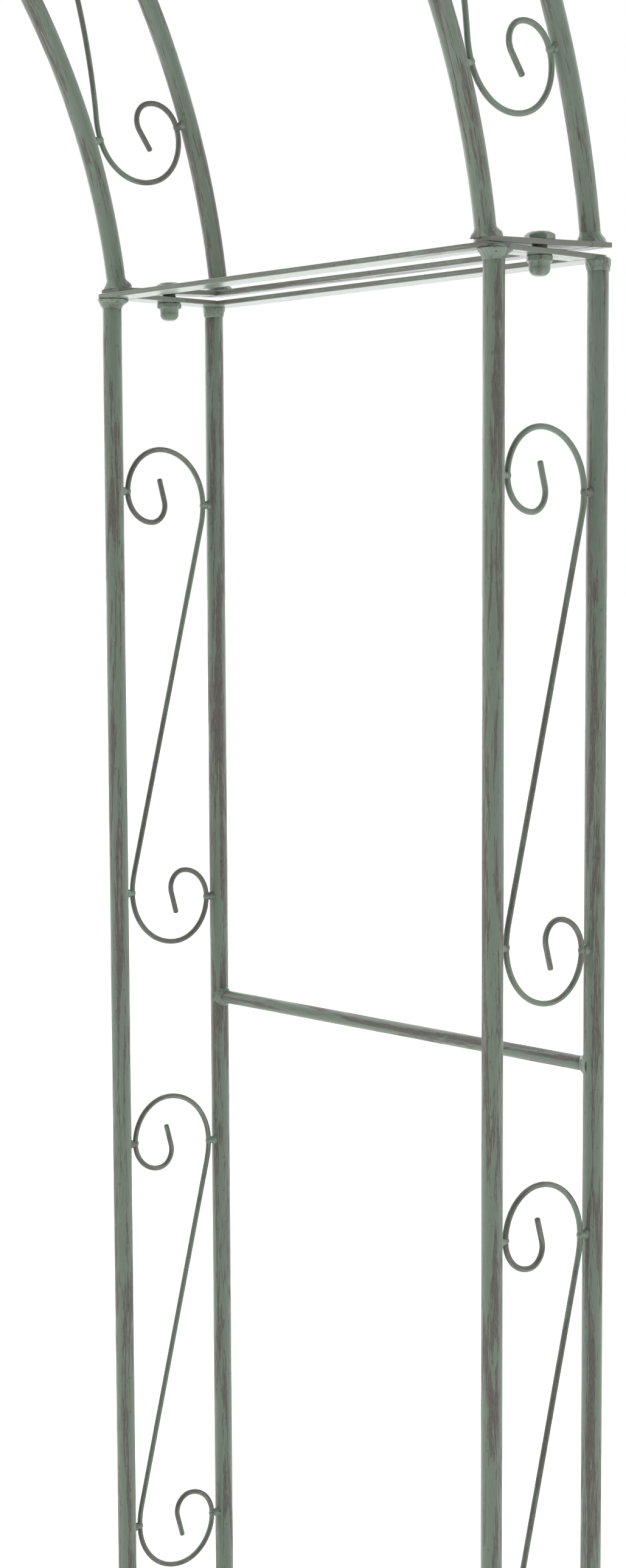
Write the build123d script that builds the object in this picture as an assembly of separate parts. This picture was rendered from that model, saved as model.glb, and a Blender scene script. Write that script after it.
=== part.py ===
from build123d import *
import math
import os

# Metal trellis arch for a garden path: two welded lattice towers, and a round-topped arch of four hoops
# bolted on top of them. Millimetres. X runs across the passage, Y through it with the front at -Y, and Z is
# up. The origin is on the ground, in the middle of the footprint.

# Layout
passage_half = 472.0        # middle of the arch to the axis of an inner post
panel_width = 97.0          # inner post axis to outer post axis
panel_depth = 385.0         # front post axis to rear post axis
tower_height = 1575.0       # ground to the top of a tower's flat-bar frame
arch_centre_drop = 62.0     # how far the centre of the hoops lies below the tower tops

# Tube, bar and wire stock
tube_d = 14.0
tube_wall = 1.2
rail_d = 10.0               # solid crossbars between the outer tubes
wire_d = 4.0                # scroll wire
flat_width = 20.0
flat_thick = 3.5

# Flat-bar frames at the joint
hoop_inset = 6.5            # hoops and flat bars stand this far inside the post axes, front and rear
foot_tilt = 2.5             # the arch's foot frames rise outwards, so the joint gapes on its outer side
bar_corner_r = 9.0          # rounded plan corners of some of the bars
foot_setback = 0.5          # the arch's short foot bars stop this far short of the inner hoops' passage side

# Scroll: a point-symmetric S, from a straight diagonal out to a hook at each end
scroll_height = 371.0
scroll_sweep_r = 60.0       # easing from the diagonal into the loop
scroll_gap = 3.5            # bare gap between a loop and the tube beside it, which a weld tack bridges
loop_shares = (0.5625, 0.4375, 0.3125, 0.175)   # radii of the quarter turns, as shares of a loop's width
hook_extra_turn = 16.0      # the hook turns on by this angle
hook_tail = 16.0            # before its straight tail
tower_scrolls = 3
tower_scroll_margin = 111.0     # tower top to the first scroll
tower_foot_margin = 113.0       # last scroll to the ground
tower_rail_below = 47.0     # a crossbar sits this far below each scroll
arch_scrolls = 3
arch_scroll_margin = 84.0   # along the hoop, from the joint to the first scroll

# Fasteners
bolt_d = 10.0
bolt_hole_clearance = 1.0   # on the diameter, in both flat bars
head_across_flats = 18.0
head_height = 5.2
head_face = 0.72            # flat round face left on top of a bolt head, as a share of its width
nut_face = 0.95             # the same at both ends of a nut's hexagon
nut_wall = 1.9              # dome's wall round the thread's nominal size
nut_step = 1.2              # the hexagon's flats stand out past the dome by this much
nut_hex_height = 4.4
nut_dome_round = 4.8
nut_total_height = 13.0
nut_dome_wall = 2.5         # metal left over the end of the thread
thread_clearance = 0.1      # on the diameter, between the bolt and the nut
bolt_end_gap = 0.8          # bolt end to the bottom of the nut's bore
head_turns = (7.0, 22.0, 41.0, 15.0)       # how far each bolt head happens to be turned, degrees
nut_turns = (12.0, 33.0, 5.0, 48.0)

# Feet
plug_flange = 3.0
plug_depth = 16.0
plug_clearance = 0.1        # on the diameter, in the tube's bore

# Welds
collar_height = 8.0
collar_leg = 4.0
collar_lip = 1.5            # thickness of a collar at its thin end, and where it laps over a post's bare top
rail_weld_leg = 1.6         # at the tube's axis
rail_weld_start = 1.2       # at the far end of the bead
rail_weld_length = 3.0
tack_d = 5.0

# Worked out from the values above
tube_r = tube_d / 2
outer_x = passage_half + panel_width
panel_mid_x = passage_half + panel_width / 2
post_y = panel_depth / 2
hoop_y = post_y - hoop_inset
flat_under = tower_height - flat_thick
frame_half_depth = hoop_y + flat_width / 2
arch_centre_z = tower_height - arch_centre_drop
pivot_x = passage_half - tube_r + foot_setback
loop_width = panel_width - tube_d - wire_d - 2 * scroll_gap     # between the wire's axes
scroll_radii = [share * loop_width for share in loop_shares]
tower_scroll_gap = (tower_height - tower_scroll_margin - tower_foot_margin
                    - tower_scrolls * scroll_height) / (tower_scrolls - 1)
nut_dome_d = bolt_d + 2 * nut_wall
nut_across_flats = nut_dome_d + 2 * nut_step
reach = 2 * (outer_x + tower_height)        # longer than anything in the model


def foot_plane_z(x):
    """Height of the top face of the tilted foot frame above a point x."""
    tilt = math.radians(foot_tilt)
    return tower_height + flat_thick / math.cos(tilt) + (x - pivot_x) * math.tan(tilt)


inner_r = math.hypot(passage_half, foot_plane_z(passage_half) - arch_centre_z)
outer_r = math.hypot(outer_x, foot_plane_z(outer_x) - arch_centre_z)
middle_r = (inner_r + outer_r) / 2


def xz_plane(x, y, z):
    """A drawing plane facing the front: its x is X and its y is Z."""
    return Plane(origin=(x, y, z), x_dir=(1, 0, 0), z_dir=(0, -1, 0))


def on_side(side, shape):
    """The left tower and foot are the right ones turned half round."""
    return Rot(0, 0, 180) * shape if side == "left" else shape


def face_sign(side, face):
    """Sign of Y, on the right-hand tower, of what ends up at this face of this side."""
    sign = -1 if face == "front" else 1
    return -sign if side == "left" else sign


def tilted(shape):
    """Turn a foot-frame piece, drawn level on the tower top, about the inner ends of the foot bars."""
    pivot = Pos(pivot_x, 0, tower_height)
    return pivot * Rot(0, -foot_tilt, 0) * pivot.inverse() * shape


# Towers

def post(x, y):
    length = flat_under - plug_flange
    tube = Cylinder(tube_r, length) - Cylinder(tube_r - tube_wall, length)
    return Pos(x, y, plug_flange + length / 2) * tube


def foot_plug(x, y):
    stem_r = tube_r - tube_wall - plug_clearance / 2
    flange = Cylinder(tube_r, plug_flange, align=(Align.CENTER, Align.CENTER, Align.MIN))
    stem = Cylinder(stem_r, plug_depth, align=(Align.CENTER, Align.CENTER, Align.MIN))
    return Pos(x, y, 0) * (flange + Pos(0, 0, plug_flange) * stem)


def bar(x_min, x_max, y_min, y_max):
    """A flat bar whose underside is on the tower top."""
    size_x, size_y = x_max - x_min, y_max - y_min
    block = Box(size_x, size_y, flat_thick, align=(Align.MIN, Align.MIN, Align.MIN))
    return Pos(x_min, y_min, tower_height) * block


def bolt_hole(y):
    drill = Cylinder((bolt_d + bolt_hole_clearance) / 2, 6 * flat_thick)
    return Pos(panel_mid_x, y, tower_height) * drill


def long_bar(x):
    half = flat_width / 2
    return bar(x - half, x + half, -frame_half_depth, frame_half_depth)


def short_bar(x_min, y):
    half = flat_width / 2
    return bar(x_min, outer_x - half, y - half, y + half)


lower = Pos(0, 0, -flat_thick)              # from an arch foot bar's level to a tower frame bar's


def tower_long_bar(x):
    """The outer one has its two outer corners rounded."""
    made = lower * long_bar(x)
    if x == outer_x:
        outer_edges = made.edges().filter_by(Axis.Z).sort_by(Axis.X)[-2:]
        made = fillet(outer_edges, bar_corner_r)
    return made


def tower_short_bar(y):
    return lower * short_bar(passage_half + flat_width / 2, y) - bolt_hole(y)


def foot_long_bar():
    return tilted(long_bar(outer_x))


def foot_short_bar(y):
    """The front one has the inside corner of its passage end rounded."""
    level = short_bar(pivot_x, y)
    if y < 0:
        passage_edges = level.edges().filter_by(Axis.Z).sort_by(Axis.X)[:2]
        level = fillet(passage_edges.sort_by(Axis.Y)[-1], bar_corner_r)
    return tilted(level) - bolt_hole(y)


# Scrolls

loop_top = scroll_height / 2
half_span = loop_width / 2
tangent_v = loop_top - scroll_radii[0]      # where the loop runs beside the outer post
hook_v = loop_top - scroll_radii[1]         # where it runs beside the inner post


def half_scroll():
    """Edges of the upper half of an S, from the end of its diagonal to the hook's tail.
    The diagonal is the line from the scroll's centre that touches the easing arc."""
    sweep_u = half_span - scroll_sweep_r
    sweep_away = math.hypot(sweep_u, tangent_v)
    lean = math.atan2(sweep_u, tangent_v) + math.asin(scroll_sweep_r / sweep_away)
    along = math.sqrt(sweep_away ** 2 - scroll_sweep_r ** 2)
    heading = Vector(math.sin(lean), math.cos(lean))
    radii = [scroll_sweep_r] + scroll_radii
    turns = (math.degrees(lean), 90, 90, 90, 90 + hook_extra_turn)
    edges = []
    here = heading * along
    for radius, turn in zip(radii, turns):
        arc = JernArc(here, heading, radius, turn)
        edges.append(arc.edge())
        here, heading = arc @ 1, arc % 1
    edges.append(Line(here, here + heading * hook_tail).edge())
    return edges


def wire_along(edges):
    path = Wire(edges)
    return sweep(Plane(origin=path @ 0, z_dir=path % 0) * Circle(wire_d / 2), path=path)


def tower_scroll_flat():
    """A straight S drawn about its own centre, in the plane of x and y."""
    upper = half_scroll()
    below = [Rot(0, 0, 180) * edge for edge in upper]
    diagonal = Line(below[0] @ 0, upper[0] @ 0).edge()
    return wire_along(list(reversed(below)) + [diagonal] + upper)


def joining_arcs(start, start_dir, end, end_dir):
    """Two arcs that leave start along start_dir, meet smoothly, and reach end along end_dir."""
    span = end - start
    both = start_dir + end_dir
    bend = 2 * (1 - start_dir.dot(end_dir))
    pull = span.dot(both)
    reach_out = (-pull + math.sqrt(pull ** 2 + bend * span.dot(span))) / bend
    middle = (start + end + (start_dir - end_dir) * reach_out) / 2
    first = TangentArc(start, middle, tangent=start_dir).edge()
    second = TangentArc(middle, end, tangent=first % 1).edge()
    return [first, second]


loop_angle = math.degrees(tangent_v / middle_r)     # from a bent scroll's middle to the middle of its loops


def arch_scroll_flat():
    """The same S bent to follow the hoops: its loops turned with them, and its diagonal curved.
    Drawn about the hoops' centre with its own centre on the x axis."""
    upper_frame = Rot(0, 0, loop_angle) * Pos(middle_r, -tangent_v, 0)
    lower_frame = Rot(0, 0, -loop_angle) * Pos(middle_r, tangent_v, 0)
    upper = [upper_frame * edge for edge in half_scroll()]
    below = [lower_frame * Rot(0, 0, 180) * edge for edge in half_scroll()]
    middle = joining_arcs(below[0] @ 0, (below[0] % 0) * -1, upper[0] @ 0, upper[0] % 0)
    return wire_along(list(reversed(below)) + middle + upper)


def tack(u_wire, v, u_tube):
    """A weld bead from a scroll's loop across to a tube, before the wire and the tube are taken off it."""
    bead = Rot(0, 90, 0) * Cylinder(tack_d / 2, abs(u_tube - u_wire))
    return Pos((u_wire + u_tube) / 2, v, 0) * bead


def upper_tacks():
    """The two beads of an upper loop: outer side, then inner side."""
    half = panel_width / 2
    return [tack(half_span, tangent_v, half), tack(-half_span, hook_v, -half)]


tower_scroll = tower_scroll_flat()
arch_scroll = arch_scroll_flat()


def tower_tacks():
    """The four beads of a straight scroll, drawn about its own centre."""
    post_rod = Rot(90, 0, 0) * Cylinder(tube_r, 2 * scroll_height)
    beads = []
    for bead in upper_tacks():
        for rod_u in (-panel_width / 2, panel_width / 2):
            bead = bead - Pos(rod_u, 0, 0) * post_rod
        bead = bead - tower_scroll
        beads += [bead, Rot(0, 0, 180) * bead]
    return beads


def ring_rod(radius):
    """A hoop's outline as a full ring, drawn about the hoops' centre."""
    return Torus(radius, tube_r)


def arch_tacks():
    """The four beads of a bent scroll, drawn about the hoops' centre."""
    beads = []
    upper_frame = Rot(0, 0, loop_angle) * Pos(middle_r, -tangent_v, 0)
    lower_frame = Rot(0, 0, -loop_angle) * Pos(middle_r, tangent_v, 0) * Rot(0, 0, 180)
    for frame in (upper_frame, lower_frame):
        for bead in upper_tacks():
            bead = frame * bead
            bead = bead - ring_rod(inner_r) - ring_rod(outer_r) - arch_scroll
            beads.append(bead)
    return beads


def tower_scroll_z(index):
    first = tower_height - tower_scroll_margin - scroll_height / 2
    return first - index * (scroll_height + tower_scroll_gap)


def arch_scroll_angle(index):
    """Angle of a bent scroll's centre round the hoops, from the right-hand horizontal."""
    joint_angle = math.degrees(math.asin(arch_centre_drop / middle_r))
    first = joint_angle + math.degrees((arch_scroll_margin + scroll_height / 2) / middle_r)
    last = 180 - first
    return first + index * (last - first) / (arch_scrolls - 1)


def placed_tower_piece(flat_shape, y, z):
    return xz_plane(panel_mid_x, y, z).location * flat_shape


def placed_arch_piece(flat_shape, y, index):
    """Bent scrolls climb from the right foot; the last of a front hoop is turned over for the left one."""
    angle = arch_scroll_angle(index)
    if index == arch_scrolls - 1:
        flat_shape = Rot(180, 0, 0) * flat_shape
    return xz_plane(0, y, arch_centre_z).location * Rot(0, 0, angle) * flat_shape


# Hoops

def hoop(radius, y):
    """A half ring of tube, cut off on the top faces of both foot frames."""
    ring = ring_rod(radius) - Torus(radius, tube_r - tube_wall)
    ring = xz_plane(0, y, arch_centre_z).location * ring
    under_frame = Pos(0, 0, flat_thick - reach / 2) * Box(reach, reach, reach)
    under_frame = Pos(pivot_x, 0, tower_height) * Rot(0, -foot_tilt, 0) * under_frame
    right_cut = under_frame & Pos(reach / 2, 0, 0) * Box(reach, reach, 2 * reach)
    return ring - right_cut - Rot(0, 0, 180) * right_cut


def hoop_outline(radius, y):
    return xz_plane(0, y, arch_centre_z).location * ring_rod(radius)


# Crossbars, and the weld beads round their ends

def rail_and_welds(centre, half_length, tube_at):
    """A crossbar coped onto the tubes at its two ends, and its two weld beads."""
    rail_r = rail_d / 2
    bead_length = tube_r + rail_weld_length
    rod = centre * Rot(90, 0, 0) * Cylinder(rail_r, 2 * half_length)
    bead = Cone(rail_r + rail_weld_start, rail_r + rail_weld_leg, bead_length)
    bead = Pos(0, half_length - bead_length / 2, 0) * Rot(-90, 0, 0) * bead
    beads = [centre * bead - rod - tube_at(half_length),
             centre * Rot(0, 0, 180) * bead - rod - tube_at(-half_length)]
    rod = rod - tube_at(half_length) - tube_at(-half_length)
    return rod, beads


def tower_rail(z):
    def tube_at(y):
        return Pos(outer_x, y, z) * Cylinder(tube_r, 4 * rail_d)
    return rail_and_welds(Pos(outer_x, 0, z), post_y, tube_at)


def arch_rail(index):
    """Crossbars of the arch lie halfway between neighbouring scrolls."""
    turn = math.radians((arch_scroll_angle(index) + arch_scroll_angle(index + 1)) / 2)
    centre = Pos(outer_r * math.cos(turn), 0, arch_centre_z + outer_r * math.sin(turn))
    return rail_and_welds(centre, hoop_y, lambda y: hoop_outline(outer_r, y))


# Welds at the joint

def post_collar(x, y):
    """Weld under a tower frame, round a post's top, and over the part of it that the frame leaves bare."""
    cone = Cone(tube_r + collar_lip, tube_r + collar_leg, collar_height,
                align=(Align.CENTER, Align.CENTER, Align.MAX))
    cap = Cylinder(tube_r + collar_lip, flat_thick - collar_lip / 2,
                   align=(Align.CENTER, Align.CENTER, Align.MIN))
    inside = Cylinder(tube_r, collar_height, align=(Align.CENTER, Align.CENTER, Align.MAX))
    weld = Pos(x, y, flat_under) * (cone + cap - inside)
    return weld - tower_long_bar(x) - tower_short_bar(math.copysign(hoop_y, y))


def hoop_collar(x, radius, y):
    """Weld on top of a foot frame, round the foot of a hoop, no wider than the bar that it stands on."""
    cone = Cone(tube_r + collar_leg, tube_r + collar_lip, collar_height,
                align=(Align.CENTER, Align.CENTER, Align.MIN))
    low_x = max(pivot_x, x - flat_width / 2)
    bar_top = Pos(low_x, y - flat_width / 2, tower_height) * Box(
        x + flat_width / 2 - low_x, flat_width, tower_height, align=(Align.MIN, Align.MIN, Align.MIN))
    weld = Pos(x, y, foot_plane_z(x)) * Rot(0, -foot_tilt, 0) * cone
    return (weld & bar_top) - hoop_outline(radius, y)


# Fasteners

def hex_block(across_flats, height, face_share, chamfer_both):
    """A hexagonal block standing on z = 0 with the usual 30 degree turned corners."""
    block = extrude(RegularPolygon(across_flats / 2, 6, major_radius=False), height)
    face_r = face_share * across_flats / 2
    turned = Cone(face_r + height * math.sqrt(3), face_r, height,
                  align=(Align.CENTER, Align.CENTER, Align.MIN))
    block = block & turned
    if chamfer_both:
        block = block & Pos(0, 0, height) * Rot(180, 0, 0) * turned
    return block


def bolt(y, turn):
    """The head sits flat on the tilted foot bar; the shank goes straight down into the nut."""
    seat_z = foot_plane_z(panel_mid_x)
    end_z = flat_under - nut_total_height + nut_dome_wall + bolt_end_gap
    top_z = seat_z + head_height / 2
    shank = Cylinder(bolt_d / 2, top_z - end_z, align=(Align.CENTER, Align.CENTER, Align.MIN))
    head = hex_block(head_across_flats, head_height, head_face, False)
    head = Pos(panel_mid_x, y, seat_z) * Rot(0, -foot_tilt, 0) * Rot(0, 0, turn) * head
    return head + Pos(panel_mid_x, y, end_z) * shank


def cap_nut(y, turn):
    """Drawn upside down, with its seat on z = 0 and its dome upwards, then turned over."""
    hexagon = Rot(0, 0, turn) * hex_block(nut_across_flats, nut_hex_height, nut_face, True)
    dome = Cylinder(nut_dome_d / 2, nut_total_height, align=(Align.CENTER, Align.CENTER, Align.MIN))
    dome = fillet(dome.edges().sort_by(Axis.Z)[-1], nut_dome_round)
    bore = Cylinder((bolt_d + thread_clearance) / 2, nut_total_height - nut_dome_wall,
                    align=(Align.CENTER, Align.CENTER, Align.MIN))
    nut = hexagon + (dome & Pos(0, 0, reach / 2 + nut_hex_height / 2) * Box(reach, reach, reach)) - bore
    return Pos(panel_mid_x, y, flat_under) * Rot(180, 0, 0) * nut


# Assembly

parts = {}
groups = {name: [] for name in ("joint_bolts", "joint_cap_nuts", "foot_plugs", "post_top_welds",
                                "hoop_foot_welds", "crossbar_welds", "scroll_welds")}
rail_places = ("upper", "middle", "lower")
tower_beads = tower_tacks()
arch_beads = arch_tacks()
head_turn = iter(head_turns)
nut_turn = iter(nut_turns)

for side in ("right", "left"):
    for face in ("front", "rear"):
        sign = face_sign(side, face)
        y = sign * post_y
        for place, x in (("inner", passage_half), ("outer", outer_x)):
            parts[f"{side}_{face}_{place}_post"] = on_side(side, post(x, y))
            groups["foot_plugs"].append(on_side(side, foot_plug(x, y)))
            groups["post_top_welds"].append(on_side(side, post_collar(x, y)))
        for index in range(tower_scrolls):
            z = tower_scroll_z(index)
            name = f"{side}_{face}_scroll_{index + 1}"
            parts[name] = on_side(side, placed_tower_piece(tower_scroll, y, z))
            for bead in tower_beads:
                groups["scroll_welds"].append(on_side(side, placed_tower_piece(bead, y, z)))
        parts[f"{side}_tower_{face}_bar"] = on_side(side, tower_short_bar(sign * hoop_y))
        parts[f"{side}_arch_foot_{face}_bar"] = on_side(side, foot_short_bar(sign * hoop_y))
        groups["joint_bolts"].append(on_side(side, bolt(sign * hoop_y, next(head_turn))))
        groups["joint_cap_nuts"].append(on_side(side, cap_nut(sign * hoop_y, next(nut_turn))))
        for x, radius in ((passage_half, inner_r), (outer_x, outer_r)):
            groups["hoop_foot_welds"].append(on_side(side, hoop_collar(x, radius, sign * hoop_y)))
    parts[f"{side}_tower_inner_bar"] = on_side(side, tower_long_bar(passage_half))
    parts[f"{side}_tower_outer_bar"] = on_side(side, tower_long_bar(outer_x))
    parts[f"{side}_arch_foot_outer_bar"] = on_side(side, foot_long_bar())
    for index in range(tower_scrolls):
        z = tower_scroll_z(index) - scroll_height / 2 - tower_rail_below
        rod, beads = tower_rail(z)
        parts[f"{side}_crossbar_{rail_places[index]}"] = on_side(side, rod)
        groups["crossbar_welds"] += [on_side(side, bead) for bead in beads]

for face, turn in (("front", 0), ("rear", 180)):
    y = -hoop_y if face == "front" else hoop_y
    parts[f"{face}_inner_hoop"] = hoop(inner_r, y)
    parts[f"{face}_outer_hoop"] = hoop(outer_r, y)
    for index in range(arch_scrolls):
        piece = Rot(0, 0, turn) * placed_arch_piece(arch_scroll, -hoop_y, index)
        parts[f"{face}_arch_scroll_{index + 1}"] = piece
        for bead in arch_beads:
            groups["scroll_welds"].append(Rot(0, 0, turn) * placed_arch_piece(bead, -hoop_y, index))

for index in range(arch_scrolls - 1):
    rod, beads = arch_rail(index)
    parts[f"arch_crossbar_{index + 1}"] = rod
    groups["crossbar_welds"] += beads

for name, shapes in groups.items():
    parts[name] = Compound([solid for shape in shapes for solid in shape.solids()])

os.makedirs("parts", exist_ok=True)
for name, shape in parts.items():
    export_step(shape, f"parts/{name}.step")
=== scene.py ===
import math

import bpy
import numpy as np
from mathutils import Matrix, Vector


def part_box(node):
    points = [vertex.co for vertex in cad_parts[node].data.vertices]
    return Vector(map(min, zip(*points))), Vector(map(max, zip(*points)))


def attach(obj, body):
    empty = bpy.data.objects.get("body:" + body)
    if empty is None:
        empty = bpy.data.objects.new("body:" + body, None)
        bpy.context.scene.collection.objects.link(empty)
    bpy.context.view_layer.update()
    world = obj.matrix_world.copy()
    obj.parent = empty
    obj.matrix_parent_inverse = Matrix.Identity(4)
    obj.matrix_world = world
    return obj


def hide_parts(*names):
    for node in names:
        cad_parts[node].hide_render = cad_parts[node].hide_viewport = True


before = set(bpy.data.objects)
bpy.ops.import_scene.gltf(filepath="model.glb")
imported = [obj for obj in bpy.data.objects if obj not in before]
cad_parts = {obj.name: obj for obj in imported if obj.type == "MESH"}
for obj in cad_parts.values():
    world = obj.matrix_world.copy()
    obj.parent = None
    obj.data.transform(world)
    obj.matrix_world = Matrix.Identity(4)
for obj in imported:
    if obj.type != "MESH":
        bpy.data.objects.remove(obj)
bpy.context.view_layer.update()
print("frame loaded")

mm = 0.001
fullTurn = 2 * math.pi


# Layout, read from the frame

def nodeSpan(node):
    # low and high corner of a node's box
    low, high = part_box(node)
    return np.array(low), np.array(high)


def nodeMiddle(node):
    # mean of the box's two corners
    low, high = nodeSpan(node)
    return (low + high) / 2


archPlan = {
    "centreDrop": 62 * mm,              # hoops' centre under the tower tops
    "footTilt": math.radians(2.5),      # foot frames rise outwards
    "footSetback": 0.5 * mm,            # short foot bars start this far inside the inner posts' passage side
}
postLow, postHigh = nodeSpan("right_front_inner_post")
tubeR = (postHigh - postLow)[0] / 2
innerX, postY = np.abs(nodeMiddle("right_front_inner_post"))[:2]
outerX = nodeMiddle("right_front_outer_post")[0]
postFoot, postHead = postLow[2], postHigh[2]
panelX = (innerX + outerX) / 2
hoopY = nodeMiddle("rear_inner_hoop")[1]
barLow, barHigh = nodeSpan("right_tower_inner_bar")
towerTop = barHigh[2]
barWide, barDeep, barThick = barHigh - barLow
centreZ = towerTop - archPlan["centreDrop"]
hoopRadius = {place: nodeSpan(f"front_{place}_hoop")[1][2] - tubeR - centreZ for place in ("inner", "outer")}
middleRadius = (hoopRadius["inner"] + hoopRadius["outer"]) / 2
pivotX = innerX - tubeR + archPlan["footSetback"]
tiltSlope = math.tan(archPlan["footTilt"])
footLift = barThick / math.cos(archPlan["footTilt"])

# first number of each kind of piece's random draws, and how far its paint is shifted from one piece to the next
seedOf = {"post": 100, "hoop": 200, "wire": 300, "bar": 400, "rod": 500, "hoopWeld": 600, "postWeld": 700,
          "rodWeld": 800, "tack": 1000}
grainShift = {"post": (0.21, 0.13), "hoop": (0.31, 0.17), "wire": (0.23, 0.11), "bar": 0.29, "rod": 0.37}


def footPlaneZ(x):
    # top face of a tilted foot frame: tower top + bar + slope times the distance from the pivot
    return towerTop + footLift + (x - pivotX) * tiltSlope


def sideOf(side, points):
    # the left tower and foot are the right ones turned half round
    return points * np.array([-1, -1, 1]) if side == "left" else points


def tiltBar(points):
    # turn about the line where the short foot bars begin, by the tilt
    x, z = points[..., 0] - pivotX, points[..., 2] - towerTop
    c, s = math.cos(archPlan["footTilt"]), math.sin(archPlan["footTilt"])
    return np.stack([pivotX + x * c - z * s, points[..., 1], towerTop + x * s + z * c], -1)


# Skins: grids of rings, as whole arrays

def skin(rings, grain=None, rim=0.0, wrapRows=False):
    # quads between neighbouring rings, closed round each ring, with a flat cap at both ends
    rows, around = rings.shape[:2]
    i = np.arange(rows if wrapRows else rows - 1)[:, None]
    j = np.arange(around)[None]
    after, right = (i + 1) % rows, (j + 1) % around
    quads = np.stack([i * around + j, i * around + right, after * around + right, after * around + j], -1)
    quads = quads.reshape(-1, 4)
    points = rings.reshape(-1, 3)
    ends = [] if wrapRows else [np.arange(around)[::-1], np.arange((rows - 1) * around, rows * around)]
    middle = points.mean(0)
    fans = [np.stack([np.repeat(e[:1], around - 2), e[1:-1], e[2:]], -1) for e in ends]
    triangles = np.concatenate([quads[:, :3], quads[:, [0, 2, 3]], *fans])
    a, b, c = (points[triangles[:, k]] - middle for k in range(3))
    if (np.cross(a, b) * c).sum() < 0:      # signed volume: turn an inside-out skin over
        quads, ends = quads[:, ::-1], [e[::-1] for e in ends]
    grain = rings if grain is None else grain
    return {"points": points, "faces": quads.tolist() + [e.tolist() for e in ends],
            "grain": np.asarray(grain).reshape(-1, 3), "rim": np.broadcast_to(rim, (rows, around)).reshape(-1)}


def makePiece(name, skins, nodes, paint, sharp=None):
    # one mesh from several skins: their points in turn, each skin's faces counted on from the ones before
    faces, count = [], 0
    for one in skins:
        faces += [[v + count for v in face] for face in one["faces"]]
        count += len(one["points"])
    mesh = bpy.data.meshes.new(name)
    mesh.from_pydata(np.concatenate([one["points"] for one in skins]).tolist(), [], faces)
    grain = mesh.attributes.new("grain", "FLOAT_VECTOR", "POINT")
    grain.data.foreach_set("vector", np.concatenate([one["grain"] for one in skins]).astype(np.float32).ravel())
    rim = mesh.attributes.new("rim", "FLOAT", "POINT")
    rim.data.foreach_set("value", np.concatenate([one["rim"] for one in skins]).astype(np.float32))
    mesh.shade_smooth()
    if sharp is not None:
        mesh.set_sharp_from_angle(angle=math.radians(sharp))
    mesh.materials.append(paint)
    piece = bpy.data.objects.new(name, mesh)
    bpy.context.scene.collection.objects.link(piece)
    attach(piece, "root")
    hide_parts(*nodes)
    return piece


def wander(shape, seed, waves=(2, 3, 5, 7), run=6.0):
    # sum of a few random waves that close round the ring (whole waves) and drift along the rows; about -1 to 1
    draw = np.random.default_rng(seed)
    rows, around = shape
    v = np.linspace(0, 1, rows)[:, None]
    a = np.linspace(0, fullTurn, around, endpoint=False)[None]
    total = np.zeros(shape)
    for wave in waves:
        for _ in range(2):
            total += draw.uniform(0.4, 1) / wave ** 0.5 * np.cos(
                wave * a + draw.uniform(-run, run) * v * fullTurn / 2 + draw.uniform(0, fullTurn))
    return total / (2 * sum(wave ** -0.5 for wave in waves))


def thinned(cut, shape, seed):
    # how far a surface sinks under its full radius: unevenness * (1 + wandering waves) / 2
    return cut["unevenness"] * (1 + wander(shape, seed, cut["waves"], cut["drift"])) / 2


# Paint

def addNode(tree, kind, inputs=None, **settings):
    # a node with its settings; an input is a link when it is a socket, and a plain value otherwise
    node = tree.nodes.new(kind)
    for key, value in settings.items():
        setattr(node, key, value)
    for key, value in (inputs or {}).items():
        if isinstance(value, bpy.types.NodeSocket):
            tree.links.new(value, node.inputs[key])
        else:
            node.inputs[key].default_value = value
    return node


def sums(tree, operation, a, b=0.0, clamp=False):
    # one arithmetic step on a and b
    return addNode(tree, "ShaderNodeMath", {0: a, 1: b}, operation=operation, use_clamp=clamp).outputs[0]


def blendColour(tree, factor, a, b):
    # a + factor * (b - a), for colours
    return addNode(tree, "ShaderNodeMix", {0: factor, 6: a, 7: b}, data_type="RGBA").outputs[2]


def ramp(tree, value, low, high, toLow=0.0, toHigh=1.0):
    # smooth step from toLow at low to toHigh at high
    node = addNode(tree, "ShaderNodeMapRange", {0: value, 1: low, 2: high, 3: toLow, 4: toHigh},
                   interpolation_type="SMOOTHSTEP")
    return node.outputs[0]


def linear(r, g, b):
    # screen colour in 0 to 255 to the light it stands for
    c = np.array([r, g, b]) / 255
    c = np.where(c <= 0.04045, c / 12.92, ((c + 0.055) / 1.055) ** 2.4)
    return (*c.tolist(), 1.0)


def newGroup(name, ins, outs):
    # an empty node group with its sockets, and its two end nodes
    group = bpy.data.node_groups.new(name, "ShaderNodeTree")
    for key, kind, value in ins:
        made = group.interface.new_socket(key, in_out="INPUT", socket_type=kind)
        if value is not None:
            made.default_value = value
    for key, kind in outs:
        group.interface.new_socket(key, in_out="OUTPUT", socket_type=kind)
    return group, group.nodes.new("NodeGroupInput"), group.nodes.new("NodeGroupOutput")


patina = {
    "streakDetail": 5.0, "streakRough": 0.62, "streakBend": 0.5,
    "patchAlong": 0.055, "patchDetail": 4.0, "patchRough": 0.6, "patchBend": 0.8,      # stripes much longer than wide
    "fineStretch": (4.2, 4.2, 3.0), "fineDetail": 3.0, "fineRough": 0.6, "fineBend": 0.2,
    "streakShare": 0.42, "patchShare": 0.95, "scratchShare": 0.22, "coverShare": 0.6,
}


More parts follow.
